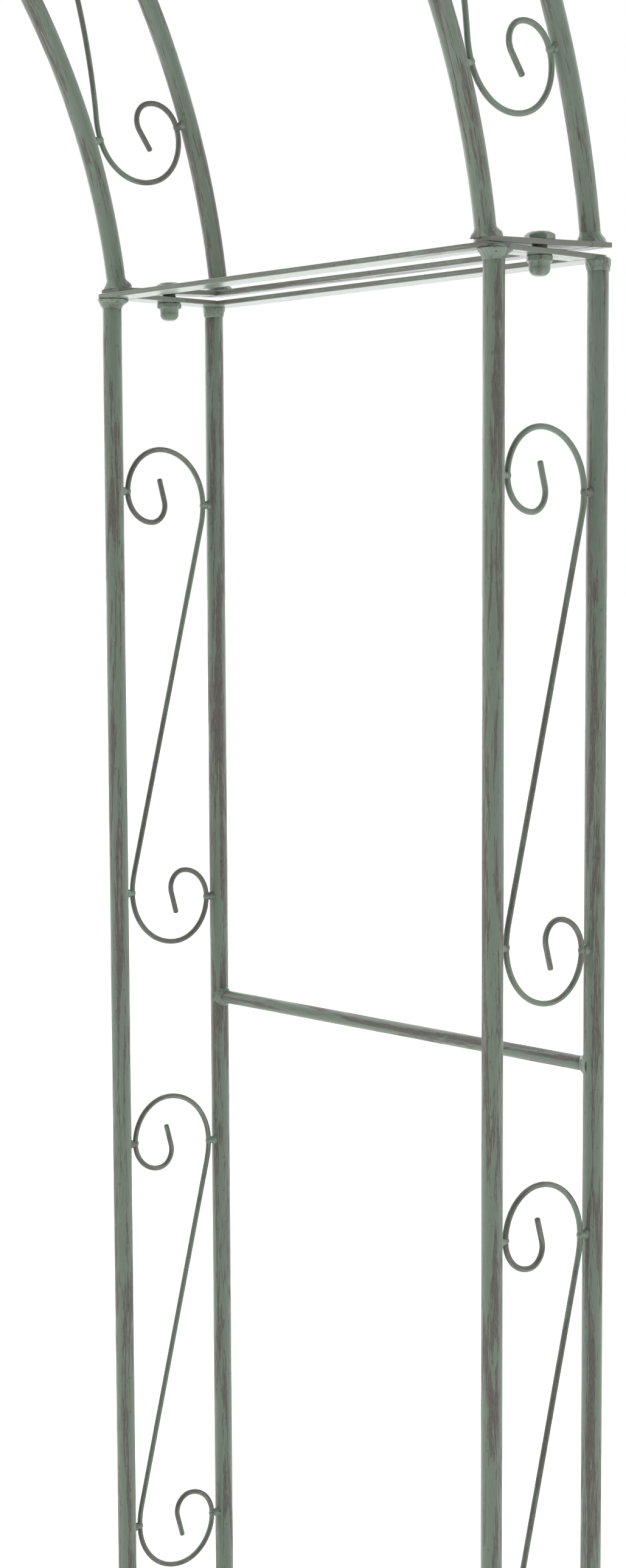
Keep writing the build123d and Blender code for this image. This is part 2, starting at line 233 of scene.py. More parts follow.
def buildBrushedPatina():
    # thin brown-grey coat dragged along the grain, with ragged ends:
    # (shares of streak, stripe and scratch noise - level) / raggedness, where level = 1 - share of the cover
    group, start, end = newGroup("brushedPatina", [
        ("Grain", "NodeSocketVector", None), ("Across", "NodeSocketFloat", 620.0), ("Along", "NodeSocketFloat", 34.0),
        ("Patches", "NodeSocketFloat", 55.0), ("Cover", "NodeSocketFloat", 0.5), ("Ragged", "NodeSocketFloat", 0.08)],
        [("Streaks", "NodeSocketFloat"), ("Scratches", "NodeSocketFloat"), ("Patch", "NodeSocketFloat")])
    grain = start.outputs["Grain"]
    stretch = addNode(group, "ShaderNodeCombineXYZ", {0: start.outputs["Across"], 1: start.outputs["Across"],
                                                      2: start.outputs["Along"]}).outputs[0]
    drawn = addNode(group, "ShaderNodeVectorMath", {0: grain, 1: stretch}, operation="MULTIPLY").outputs[0]
    flat = addNode(group, "ShaderNodeVectorMath", {0: grain, 1: (1.0, 1.0, patina["patchAlong"])},
                   operation="MULTIPLY").outputs[0]
    fine = addNode(group, "ShaderNodeVectorMath", {0: drawn, 1: patina["fineStretch"]}, operation="MULTIPLY").outputs[0]

    def noise(vector, scale, kind):
        return addNode(group, "ShaderNodeTexNoise", {
            "Vector": vector, "Scale": scale, "Detail": patina[kind + "Detail"], "Roughness": patina[kind + "Rough"],
            "Distortion": patina[kind + "Bend"]}).outputs["Fac"]

    streak, scratch = noise(drawn, 1.0, "streak"), noise(fine, 1.0, "fine")
    patch = noise(flat, start.outputs["Patches"], "patch")
    both = sums(group, "ADD", sums(group, "MULTIPLY", streak, patina["streakShare"]),
                sums(group, "MULTIPLY", patch, patina["patchShare"]))
    offMiddle = sums(group, "SUBTRACT", scratch, 0.5)
    both = sums(group, "ADD", both, sums(group, "MULTIPLY", offMiddle, patina["scratchShare"]))
    level = sums(group, "SUBTRACT", 1.0, sums(group, "MULTIPLY", start.outputs["Cover"], patina["coverShare"]))
    over = sums(group, "DIVIDE", sums(group, "SUBTRACT", both, level), start.outputs["Ragged"])
    group.links.new(sums(group, "MULTIPLY", over, 1.0, True), end.inputs["Streaks"])
    group.links.new(scratch, end.inputs["Scratches"])
    group.links.new(patch, end.inputs["Patch"])
    return group


paintRelief = {"peelScale": 420.0, "pitScale": 240.0, "pitRare": 0.86, "pitWide": 0.34, "ridgeShare": 0.6,
               "peelShare": 0.4}


def buildPaintSkin():
    # brushed-on paint: share of ridges along the grain + share of orange peel - pits;
    # a pit lies where a cell's distance is under a size that only the few largest cells have
    group, start, end = newGroup("paintSkin", [
        ("Object", "NodeSocketVector", None), ("Scratches", "NodeSocketFloat", 0.5), ("Pits", "NodeSocketFloat", 0.3)],
        [("Height", "NodeSocketFloat"), ("Pitted", "NodeSocketFloat")])
    peel = addNode(group, "ShaderNodeTexNoise", {"Vector": start.outputs["Object"], "Scale": paintRelief["peelScale"],
                                                 "Detail": 2.0})
    cell = addNode(group, "ShaderNodeTexVoronoi", {"Vector": start.outputs["Object"], "Scale": paintRelief["pitScale"],
                                                   "Randomness": 1.0}, feature="F1")
    size = addNode(group, "ShaderNodeSeparateColor", {0: cell.outputs["Color"]}).outputs[0]
    edge = sums(group, "MULTIPLY", ramp(group, size, paintRelief["pitRare"], 1.0), paintRelief["pitWide"])
    inPit = sums(group, "LESS_THAN", cell.outputs["Distance"], edge)
    pit = sums(group, "MULTIPLY", inPit, start.outputs["Pits"], True)
    height = sums(group, "ADD", sums(group, "MULTIPLY", start.outputs["Scratches"], paintRelief["ridgeShare"]),
                  sums(group, "MULTIPLY", peel.outputs["Fac"], paintRelief["peelShare"]))
    group.links.new(sums(group, "SUBTRACT", height, pit), end.inputs["Height"])
    group.links.new(pit, end.inputs["Pitted"])
    return group


rimWearing = {"scale": 24.0, "detail": 6.0, "roughness": 0.7, "level": 1.25, "rimShare": 0.55, "sharpness": 7.0}


def buildRimWear():
    # paint dragged thin on corners: sharpness * (noise + share of the corner mask - (level - amount))
    group, start, end = newGroup("rimWear", [
        ("Object", "NodeSocketVector", None), ("Rim", "NodeSocketFloat", 0.0), ("Amount", "NodeSocketFloat", 0.5)],
        [("Worn", "NodeSocketFloat")])
    broken = addNode(group, "ShaderNodeTexNoise", {
        "Vector": start.outputs["Object"], "Scale": rimWearing["scale"], "Detail": rimWearing["detail"],
        "Roughness": rimWearing["roughness"]}).outputs["Fac"]
    level = sums(group, "SUBTRACT", rimWearing["level"], start.outputs["Amount"])
    raised = sums(group, "ADD", broken, sums(group, "MULTIPLY", start.outputs["Rim"], rimWearing["rimShare"]))
    over = sums(group, "SUBTRACT", raised, level)
    group.links.new(sums(group, "MULTIPLY", over, rimWearing["sharpness"], True), end.inputs["Worn"])
    return group


brushedPatina, paintSkin, rimWear = buildBrushedPatina(), buildPaintSkin(), buildRimWear()


def agedPaint(name, look):
    # sage paint, two greens in long stripes, under a brushed brown-grey coat; worn rims; dark pits
    paint = bpy.data.materials.new(name)
    paint.use_nodes = True
    tree = paint.node_tree
    tree.nodes.clear()
    place = addNode(tree, "ShaderNodeTexCoord").outputs["Object"]
    grain = addNode(tree, "ShaderNodeAttribute", attribute_name="grain").outputs["Vector"]
    rim = addNode(tree, "ShaderNodeAttribute", attribute_name="rim").outputs["Fac"]
    coat = addNode(tree, "ShaderNodeGroup", node_tree=brushedPatina)
    tree.links.new(grain, coat.inputs["Grain"])
    for key in ("Across", "Along", "Patches", "Cover", "Ragged"):
        coat.inputs[key].default_value = look[key.lower()]
    surface = addNode(tree, "ShaderNodeGroup", node_tree=paintSkin)
    tree.links.new(place, surface.inputs["Object"])
    tree.links.new(coat.outputs["Scratches"], surface.inputs["Scratches"])
    surface.inputs["Pits"].default_value = look["pits"]
    wear = addNode(tree, "ShaderNodeGroup", node_tree=rimWear)
    tree.links.new(place, wear.inputs["Object"])
    tree.links.new(rim, wear.inputs["Rim"])
    wear.inputs["Amount"].default_value = look["wear"]
    green = blendColour(tree, ramp(tree, coat.outputs["Patch"], 0.38, 0.62), linear(*look["green"]),
                        linear(*look["paleGreen"]))
    fine = ramp(tree, coat.outputs["Scratches"], 0.44, 0.7)
    specks = sums(tree, "MULTIPLY", ramp(tree, coat.outputs["Scratches"], 0.53, 0.60),
                  ramp(tree, coat.outputs["Patch"], 0.42, 0.56))
    green = blendColour(tree, sums(tree, "MULTIPLY", fine, look["brushed"]), green, linear(*look["dusty"]))
    brown = blendColour(tree, ramp(tree, coat.outputs["Scratches"], 0.35, 0.65), linear(*look["darkBrown"]),
                        linear(*look["brown"]))
    green = blendColour(tree, sums(tree, "MULTIPLY", specks, look["specks"]), green, brown)
    colour = blendColour(tree, sums(tree, "MULTIPLY", coat.outputs["Streaks"], look["coat"]), green, brown)
    colour = blendColour(tree, sums(tree, "MULTIPLY", wear.outputs["Worn"], look["wornCoat"]), colour,
                         linear(*look["worn"]))
    colour = blendColour(tree, sums(tree, "MULTIPLY", surface.outputs["Pitted"], 0.75), colour, linear(58, 56, 52))
    rough = sums(tree, "ADD", look["rough"], sums(tree, "MULTIPLY", coat.outputs["Streaks"], 0.16))
    bump = addNode(tree, "ShaderNodeBump", {"Height": surface.outputs["Height"], "Strength": look["bump"],
                                            "Distance": 0.25 * mm})
    shader = addNode(tree, "ShaderNodeBsdfPrincipled", {"Base Color": colour, "Roughness": rough,
                                                        "Normal": bump.outputs[0], "IOR": 1.5})
    out = addNode(tree, "ShaderNodeOutputMaterial")
    tree.links.new(shader.outputs[0], out.inputs[0])
    return paint


tubeLook = {"green": (99, 114, 98), "paleGreen": (111, 127, 111), "dusty": (134, 144, 133), "brushed": 0.3,
            "brown": (104, 96, 91), "darkBrown": (62, 56, 53), "coat": 0.9, "worn": (92, 84, 78), "wornCoat": 0.8,
            "specks": 0.6, "across": 1150.0, "along": 75.0, "patches": 165.0, "cover": 0.525, "ragged": 0.05,
            "wear": 0.45, "rough": 0.34, "bump": 0.35, "pits": 0.4}
tubePaint = agedPaint("sagePatinaTube", tubeLook)
wirePaint = agedPaint("sagePatinaWire", dict(tubeLook, across=800.0, along=90.0, patches=45.0, cover=0.59, coat=0.8))
barPaint = agedPaint("sageFlatBar", dict(tubeLook, across=420.0, along=40.0, patches=40.0, cover=0.42, coat=0.75,
                                         wornCoat=0.55, green=(110, 125, 110), paleGreen=(122, 137, 123), wear=0.4,
                                         rough=0.22, bump=0.2))
weldPaint = agedPaint("sageWeldBead", dict(tubeLook, across=420.0, along=420.0, patches=150.0, cover=0.5, coat=0.7,
                                           green=(106, 121, 106), bump=0.6, pits=1.0, rough=0.3))
fastenerPaint = agedPaint("sageFastener", dict(tubeLook, across=300.0, along=200.0, patches=90.0, cover=0.36,
                                               coat=0.6, specks=0.2, brushed=0.2, bump=0.15, pits=0.1, rough=0.3,
                                               wear=0.4))
plugFinish = agedPaint("darkPlugPlastic", dict(tubeLook, green=(40, 44, 40), paleGreen=(48, 52, 48),
                                               dusty=(70, 72, 68), brown=(66, 62, 58), darkBrown=(36, 35, 33),
                                               cover=0.35, rough=0.55))
print("paints mixed")


# Tubes

tubeCut = {"around": 56, "rowStep": 10 * mm, "hoopRowStep": 5 * mm, "unevenness": 0.10 * mm, "plateSink": 1.2 * mm,
           "headGap": 0.3 * mm, "waves": (2, 3), "drift": 40.0}


def ringAngles(around):
    # even steps of a full turn
    return np.linspace(0, fullTurn, around, endpoint=False)


def postSkin(x, y, index):
    # a straight cylinder whose radius swells and thins by a tenth of a millimetre
    rows = int((postHead - postFoot) / tubeCut["rowStep"]) + 1
    z = np.linspace(postFoot, postHead - tubeCut["headGap"], rows)[:, None]
    a = ringAngles(tubeCut["around"])[None]
    radius = tubeR - thinned(tubeCut, (rows, tubeCut["around"]), seedOf["post"] + index)
    around = np.stack([radius * np.cos(a), radius * np.sin(a), z + 0 * a], -1)
    return skin(around + np.array([x, y, 0]), around + np.array([index * shift for shift in grainShift["post"]] + [0]))


postIndex = 0
for side in ("right", "left"):
    for face in ("front", "rear"):
        for place in ("inner", "outer"):
            node = f"{side}_{face}_{place}_post"
            x, y, _ = nodeMiddle(node)
            postIndex += 1
            makePiece(f"{side}_{face}_{place}_upright", [postSkin(x, y, postIndex)], [node], tubePaint)


def hoopSkin(radius, y, index):
    # part of a torus; each line along it starts and ends where it meets the foot planes:
    # angle = tilt + arcsin(height of the plane over the centre, seen square to the plane, / radius of that line)
    around = tubeCut["around"]
    a = ringAngles(around)
    rows = int(math.pi * radius / tubeCut["hoopRowStep"]) + 1
    reach = radius + tubeR * np.cos(a)
    rise = (footPlaneZ(0) - centreZ - tubeCut["plateSink"]) * math.cos(archPlan["footTilt"])
    first = archPlan["footTilt"] + np.arcsin(rise / reach)
    share = np.linspace(0, 1, rows)[:, None]
    turn = first[None] + share * (math.pi - 2 * first)[None]
    thin = thinned(tubeCut, (rows, around), seedOf["hoop"] + index)
    out = radius + (tubeR - thin) * np.cos(a)[None]
    beside, above = (tubeR - thin) * np.sin(a)[None], (tubeR - thin) * np.cos(a)[None]
    rings = np.stack([out * np.cos(turn), y + beside + 0 * turn, centreZ + out * np.sin(turn)], -1)
    grain = np.stack([above + index * grainShift["hoop"][0], beside + index * grainShift["hoop"][1], radius * turn], -1)
    return skin(rings, grain)


for index, (face, place) in enumerate((f, p) for f in ("front", "rear") for p in ("inner", "outer")):
    y = -hoopY if face == "front" else hoopY
    makePiece(f"{face}_{place}_arch_tube", [hoopSkin(hoopRadius[place], y, index + 1)], [f"{face}_{place}_hoop"],
              tubePaint)
print("tubes made")


# Scrolls

scroll = {
    "height": 371 * mm, "wireR": 2 * mm, "gap": 3.5 * mm, "sweepR": 60 * mm,
    "loopShares": (0.5625, 0.4375, 0.3125, 0.175),      # quarter-turn radii, as shares of the loop's width
    "hookExtra": math.radians(16), "hookTail": 16 * mm,
    "archMargin": 84 * mm,                              # along the hoop, joint to first scroll
    "around": 22, "step": 1.8 * mm, "fineSteps": 8, "endRings": 6, "unevenness": 0.05 * mm, "waves": (2, 3),
    "drift": 30.0, "domeShare": 0.6, "leastShare": 0.12, "leastR": 0.1 * mm,
}
loopWidth = (outerX - innerX) - 2 * tubeR - 2 * scroll["wireR"] - 2 * scroll["gap"]
loopRadii = [share * loopWidth for share in scroll["loopShares"]]
halfSpan = loopWidth / 2
outerTouch = scroll["height"] / 2 - loopRadii[0]        # height where a loop runs beside the outer tube
innerTouch = scroll["height"] / 2 - loopRadii[1]
sweepU = halfSpan - scroll["sweepR"]
sweepAway = math.hypot(sweepU, outerTouch)
lean = math.atan2(sweepU, outerTouch) + math.asin(scroll["sweepR"] / sweepAway)
diagonalHalf = math.sqrt(sweepAway ** 2 - scroll["sweepR"] ** 2)
quarter = math.pi / 2
loopLegs = [(scroll["sweepR"] * lean, 1 / scroll["sweepR"])] + [(r * quarter, 1 / r) for r in loopRadii[:3]]
loopLegs += [(loopRadii[3] * (quarter + scroll["hookExtra"]), 1 / loopRadii[3]), (scroll["hookTail"], 0.0)]
loopAngle = outerTouch / middleRadius                   # from a bent scroll's middle to its loops


def traceLine(start, heading, legs):
    # heading = first heading + running sum of bend; points = start + running sum of the heading, in fine steps
    lengths, bends = np.array(legs).T
    ends = np.concatenate([[0], np.cumsum(lengths)])
    turned = np.concatenate([[0], np.cumsum(lengths * bends)])
    count = int(ends[-1] / scroll["step"]) * scroll["fineSteps"]
    s = np.linspace(0, ends[-1], count + 1)
    middles = heading + np.interp((s[1:] + s[:-1]) / 2, ends, turned)
    steps = np.diff(s)[:, None] * np.stack([np.cos(middles), np.sin(middles)], -1)
    points = np.concatenate([[start], start + np.cumsum(steps, 0)])
    keep = slice(None, None, scroll["fineSteps"])
    return points[keep], (heading + np.interp(s, ends, turned))[keep], s[keep]


def flatTurn(angle, points):
    # turn about the origin of the plane: u cos - v sin, u sin + v cos
    c, s = math.cos(angle), math.sin(angle)
    return points @ np.array([[c, s], [-s, c]])


def arcLeg(start, heading, end):
    # the arc that leaves start along heading and reaches end: bend = 2 sin(angle to chord) / chord
    chord = end - start
    off = math.remainder(math.atan2(chord[1], chord[0]) - heading, fullTurn)
    length = np.hypot(*chord)
    bend = 2 * math.sin(off) / length
    return (2 * off / bend if abs(off) > 1e-9 else length, bend), heading + 2 * off


def scrollLine(bent):
    # lower loop backwards, the diagonal, the upper loop; the bent one has its loops turned with the hoops
    # and two arcs that meet smoothly for its diagonal
    upStart = diagonalHalf * np.array([math.sin(lean), math.cos(lean)])
    upHeading = quarter - lean
    backLegs = [(length, -bend) for length, bend in loopLegs[::-1]]
    tail, tailHeading, _ = traceLine(upStart, upHeading, loopLegs)
    if not bent:
        return traceLine(-tail[-1], tailHeading[-1] + fullTurn, backLegs + [(2 * diagonalHalf, 0.0)] + loopLegs)
    lift = np.array([middleRadius, -outerTouch])
    upper = flatTurn(loopAngle, upStart + lift)
    upperDir = upHeading + loopAngle
    lower = flatTurn(-loopAngle, -upStart - lift * np.array([-1, 1]))
    lowerDir = upHeading - loopAngle
    lowerTail = flatTurn(-loopAngle, -tail[-1] - lift * np.array([-1, 1]))
    d0, d1 = (np.array([math.cos(h), math.sin(h)]) for h in (lowerDir, upperDir))
    spanning, bendShare = upper - lower, 2 * (1 - d0 @ d1)
    pull = spanning @ (d0 + d1)
    out = (-pull + math.sqrt(pull ** 2 + bendShare * (spanning @ spanning))) / bendShare
    meeting = (lower + upper + (d0 - d1) * out) / 2
    first, heading = arcLeg(lower, lowerDir, meeting)
    second, _ = arcLeg(meeting, heading, upper)
    return traceLine(lowerTail, tailHeading[-1] - loopAngle, backLegs + [first, second] + loopLegs)


def wireSkin(line, place, index):
    # a round wire on a flat line: point + radius (cos a * outward + sin a * square to the plane), with domed ends
    points, heading, s = line
    ends = np.linspace(0, quarter, scroll["endRings"])[1:]
    radius = scroll["wireR"]
    dome = radius * np.sin(ends) * scroll["domeShare"]
    before, after = s[0] - dome[::-1], s[-1] + dome
    shrink = np.concatenate([np.cos(ends)[::-1], np.ones(len(s)), np.cos(ends)])
    shrink = np.maximum(shrink, scroll["leastShare"])
    allS = np.concatenate([before, s, after])
    direction = np.stack([np.cos(heading), np.sin(heading)], -1)
    points = np.concatenate([points[0] + (before - s[0])[:, None] * direction[0], points,
                             points[-1] + (after - s[-1])[:, None] * direction[-1]])
    heading = np.concatenate([np.full(len(ends), heading[0]), heading, np.full(len(ends), heading[-1])])
    outward = np.stack([np.sin(heading), -np.cos(heading)], -1)
    a = ringAngles(scroll["around"])
    thin = thinned(scroll, (len(allS), scroll["around"]), seedOf["wire"] + index)
    r = np.maximum(radius * shrink[:, None] - thin, scroll["leastR"])
    u = points[:, None, 0] + r * np.cos(a) * outward[:, None, 0]
    v = points[:, None, 1] + r * np.cos(a) * outward[:, None, 1]
    w = r * np.sin(a)
    grain = np.stack([r * np.cos(a) + index * grainShift["wire"][0], w + index * grainShift["wire"][1],
                      allS[:, None] + 0 * w], -1)
    return skin(place(np.stack([u, w, v], -1)), grain)


def archPlace(index, face):
    # bent scrolls climb from the right foot of the front hoops; the last is turned over; the rear is turned half round
    joint = math.asin(archPlan["centreDrop"] / middleRadius)
    first = joint + (scroll["archMargin"] + scroll["height"] / 2) / middleRadius
    angle = first + index * (math.pi - 2 * first) / 2
    flip = -1 if index == 2 else 1

    def placed(p):
        u, w, v = p[..., 0], p[..., 1], p[..., 2] * flip
        c, s = math.cos(angle), math.sin(angle)
        made = np.stack([u * c - v * s, -hoopY + w, centreZ + u * s + v * c], -1)
        return made * np.array([-1, -1, 1]) if face == "rear" else made
    return placed


def towerPlace(side, face, index):
    # stand a scroll in its panel: u across from the panel's middle, v up from the node's middle; half round on the left
    middle = nodeMiddle(f"{side}_{face}_scroll_{index + 1}")
    sign = -1 if side == "left" else 1
    y = math.copysign(postY, middle[1])
    return lambda p: np.stack([sign * (panelX + p[..., 0]), y + sign * p[..., 1], middle[2] + p[..., 2]], -1)


straightLine, bentLine = scrollLine(False), scrollLine(True)
wireIndex = 0
for side in ("right", "left"):
    for face in ("front", "rear"):
        for index in range(3):
            wireIndex += 1
            makePiece(f"{side}_{face}_tower_scroll_{index + 1}",
                      [wireSkin(straightLine, towerPlace(side, face, index), wireIndex)],
                      [f"{side}_{face}_scroll_{index + 1}"], wirePaint)
for face in ("front", "rear"):
    for index in range(3):
        wireIndex += 1
        makePiece(f"{face}_bent_scroll_{index + 1}", [wireSkin(bentLine, archPlace(index, face), wireIndex)],
                  [f"{face}_arch_scroll_{index + 1}"], wirePaint)
print("scrolls made")


# Flat bars

barCut = {"edge": 0.7 * mm, "edgeSteps": 5, "rowStep": 7 * mm, "waviness": 0.08 * mm, "rimReach": 1.6 * mm,
          "holeR": 5.5 * mm, "cornerR": 9 * mm, "waves": (1, 2, 3), "drift": 14.0}


def barSkin(low, high, along, index, tilt=False, rounded=0):
    # rounded rectangle carried along the bar: core rectangle + edge radius square to it;
    # at the ends the edge radius swings from nothing to full, so the end corners are rounded too
    across = 1 - along
    size, middle = high - low, (low + high) / 2
    edge = barCut["edge"]
    p, q = size[across] / 2 - edge, size[2] / 2 - edge
    arc = np.linspace(0, quarter, barCut["edgeSteps"])
    spread = np.array([0.82, 0.3, -0.3, -0.82]) * p
    core, square, rim = [], [], []
    for k, (sx, sy) in enumerate(((1, 1), (-1, 1), (-1, -1), (1, -1))):
        a = arc + k * quarter
        core += [np.tile([sx * p, sy * q], (len(a), 1))]
        square += [np.stack([np.cos(a), np.sin(a)], -1)]
        rim += [np.ones(len(a))]
        if k % 2 == 0:
            core += [np.stack([spread * sx, np.full(4, sy * q)], -1)]
            square += [np.tile([0, sy], (4, 1))]
            rim += [np.array([0.25, 0, 0, 0.25])]
        else:
            core += [np.array([[sx * p, 0]])]
            square += [np.array([[sx, 0]])]
            rim += [np.array([0.7])]
    core, square, rim = (np.concatenate(x) for x in (core, square, rim))
    turn = np.linspace(0, quarter, barCut["edgeSteps"])
    inner = np.linspace(low[along] + edge, high[along] - edge, int(size[along] / barCut["rowStep"]) + 2)[1:-1]
    if rounded:
        close = barCut["cornerR"] * (1 - np.cos(np.linspace(0.45, quarter, 9)))
        inner = np.unique(np.concatenate([inner, low[along] + close, high[along] - close]))
    t = np.concatenate([low[along] + edge - edge * np.cos(turn), inner, high[along] - edge + edge * np.cos(turn[::-1])])
    grow = np.concatenate([np.sin(turn), np.ones(len(inner)), np.sin(turn[::-1])])[:, None, None] * edge
    swell = wander((len(t), len(core)), seedOf["bar"] + index, barCut["waves"], barCut["drift"])
    wave = barCut["waviness"] * swell[..., None] * (grow == edge)
    flat = core + square * (grow - np.abs(wave))
    if rounded:     # the far side swings in round both end corners: radius minus the circle's height
        short = np.clip(barCut["cornerR"] - np.minimum(t - low[along], high[along] - t), 0, None)[:, None]
        pull = barCut["cornerR"] - np.sqrt(np.maximum(barCut["cornerR"] ** 2 - short ** 2, 0))
        flat[..., 0] -= rounded * pull * np.clip(rounded * flat[..., 0] / p + 0.1, 0, 1)
    rings = np.zeros((len(t), len(core), 3))
    rings[..., across] = middle[across] + flat[..., 0]
    rings[..., 2] = middle[2] + flat[..., 1]
    rings[..., along] = t[:, None]
    grain = np.stack([rings[..., across] + index * grainShift["bar"], rings[..., 2], rings[..., along]], -1)
    nearEnd = np.minimum(t - low[along], high[along] - t)[:, None]
    rims = np.maximum(rim[None], np.exp(-nearEnd / barCut["rimReach"]))
    return skin(tiltBar(rings) if tilt else rings, grain, rims)


def drilledBarSkin(low, high, hole, index, tilt=False, cut=0):
    # rings go out from the hole under the bar, up round its edge, and back over its top to the hole:
    # each ring lies between the hole's circle and a rectangle, both as distances at each angle
    edge = barCut["edge"]
    reach = np.array([high[0] - hole[0], hole[0] - low[0], high[1] - hole[1], hole[1] - low[1]])
    corners = [math.atan2(s * reach[2 if s > 0 else 3], c * reach[0 if c > 0 else 1])
               for s in (1, -1) for c in (1, -1)]
    fine = np.concatenate([corners] + [np.array(corners) + d for d in (-0.05, 0.05, -0.015, 0.015)])
    a = np.unique(np.round(np.concatenate([ringAngles(120), fine % fullTurn]), 6))
    cos, sin = np.cos(a), np.sin(a)

    def edgeRing(inset):
        # distance to the rectangle's nearer side along each ray
        x = np.where(cos > 0, reach[0], reach[1]) - inset
        y = np.where(sin > 0, reach[2], reach[3]) - inset
        ring = np.minimum(x / np.maximum(np.abs(cos), 1e-9), y / np.maximum(np.abs(sin), 1e-9))
        if cut:     # one corner is an arc: the far crossing of each ray with the arc's circle
            r = barCut["cornerR"] - inset
            cx, cy = -(reach[1] - inset - r), cut * ((reach[2] if cut > 0 else reach[3]) - inset - r)
            along = cx * cos + cy * sin
            inside = np.maximum(along ** 2 - cx ** 2 - cy ** 2 + r ** 2, 0)
            arc = along + np.sqrt(inside)
            atCorner = (ring * cos < cx) & (ring * sin * cut > cy * cut)
            ring = np.where(atCorner, arc, ring)
        return ring

    steps = np.array([0, 0.03, 0.25, 0.5, 0.75, 0.92])
    swing = np.linspace(0, quarter, barCut["edgeSteps"])
    holeR = barCut["holeR"]
    faceRings = [holeR + (edgeRing(edge) - holeR) * k for k in steps]
    lowerTurn = [edgeRing(edge - edge * math.sin(k)) for k in swing]
    distance = np.array(faceRings + lowerTurn + lowerTurn[::-1] + faceRings[::-1])
    heights = np.concatenate([np.full(len(steps), low[2]), low[2] + edge - edge * np.cos(swing),
                              high[2] - edge + edge * np.cos(swing[::-1]), np.full(len(steps), high[2])])[:, None]
    rings = np.stack([hole[0] + distance * cos, hole[1] + distance * sin, heights + 0 * distance], -1)
    half = np.concatenate([[0, 0, 0, 0, 0, 0.2], np.ones(len(swing))])
    rims = np.concatenate([half, half[::-1]])[:, None] + 0 * distance
    grain = np.stack([rings[..., 1] + index * grainShift["bar"], rings[..., 2], rings[..., 0]], -1)
    return skin(tiltBar(rings) if tilt else rings, grain, rims, wrapRows=True)


def mirrored(one, side):
    # a skin moved to its side of the arch
    return dict(one, points=sideOf(side, one["points"]))


barIndex = 0
for side in ("right", "left"):
    for place in ("inner", "outer"):
        node = f"{side}_tower_{place}_bar"
        low, high = nodeSpan(node)
        barIndex += 1
        roundedSide = (place == "outer") * (1 if side == "right" else -1)
        makePiece(f"{side}_tower_{place}_rail", [barSkin(low, high, 1, barIndex, False, roundedSide)], [node],
                  barPaint)
    barIndex += 1
    footLow = np.array([outerX - barWide / 2, -barDeep / 2, towerTop])
    footHigh = np.array([outerX + barWide / 2, barDeep / 2, towerTop + barThick])
    makePiece(f"{side}_foot_outer_rail", [mirrored(barSkin(footLow, footHigh, 1, barIndex, True), side)],
              [f"{side}_arch_foot_outer_bar"], barPaint)
    for face in ("front", "rear"):
        sign = 1 if (face == "rear") == (side == "right") else -1
        barIndex += 2
        for kind, startX, z, tilt in (("tower", innerX + barWide / 2, towerTop - barThick, False),
                                      ("arch_foot", pivotX, towerTop, True)):
            low = np.array([startX, sign * hoopY - barWide / 2, z])
            high = np.array([outerX - barWide / 2, sign * hoopY + barWide / 2, z + barThick])
            made = drilledBarSkin(low, high, (panelX, sign * hoopY), barIndex + tilt, tilt, int(tilt and sign < 0))
            makePiece(f"{side}_{face}_{kind}_cross_plate", [mirrored(made, side)], [f"{side}_{kind}_{face}_bar"],
                      barPaint, 40)

crossbar = {"around": 40, "rowStep": 9 * mm, "into": 0.9 * mm, "unevenness": 0.08 * mm, "waves": (2, 3), "drift": 30.0}


def rodSkin(node, index):
    # a straight, slightly uneven cylinder along Y that runs a little into both tubes
    low, high = nodeSpan(node)
    middle, radius = (low + high) / 2, (high - low)[2] / 2
    rows = int((high - low)[1] / crossbar["rowStep"]) + 2
    y = np.linspace(low[1] - crossbar["into"], high[1] + crossbar["into"], rows)[:, None]
    a = ringAngles(crossbar["around"])[None]
    r = radius - thinned(crossbar, (rows, crossbar["around"]), seedOf["rod"] + index)
    rings = np.stack([middle[0] + r * np.cos(a), y + 0 * a, middle[2] + r * np.sin(a)], -1)
    grain = np.stack([r * np.cos(a) + index * grainShift["rod"], r * np.sin(a), y + 0 * a], -1)
    return skin(rings, grain)


rodNodes = [f"{side}_crossbar_{place}" for side in ("right", "left") for place in ("upper", "middle", "lower")]
rodNodes += ["arch_crossbar_1", "arch_crossbar_2"]
for index, node in enumerate(rodNodes):
    makePiece(f"{node}_rod", [rodSkin(node, index)], [node], tubePaint)
print("bars and crossbars made")


# Bolts and cap nuts

fastener = {
    "around": 144, "headFlats": 18 * mm, "headHigh": 5.2 * mm, "nutFlats": 16.2 * mm, "nutHexHigh": 4.4 * mm,
    "domeR": 6.9 * mm, "domeRound": 4.8 * mm, "nutHigh": 13 * mm, "headFace": 0.72, "nutFace": 0.95,
    "cornerSoft": 1.125, "coneOver": 0.25 * mm, "blockRows": 16, "shankAround": 48,
    "shankR": 4.8 * mm, "threadDeep": 0.28 * mm, "pitch": 1.5 * mm,
    "headTurns": (7.0, 22.0, 41.0, 15.0), "nutTurns": (12.0, 33.0, 5.0, 48.0),
}


def softLess(a, b, power=22):
    # smooth minimum of two radii
    return (a ** -power + b ** -power) ** (-1 / power)


def hexRing(flats, a):
    # distance to a hexagon's side at each angle, with its corners eased
    half = flats / 2
    plain = half / np.cos((a % (math.pi / 3)) - math.pi / 6)
    return softLess(plain, fastener["cornerSoft"] * half + 0 * a, 40)


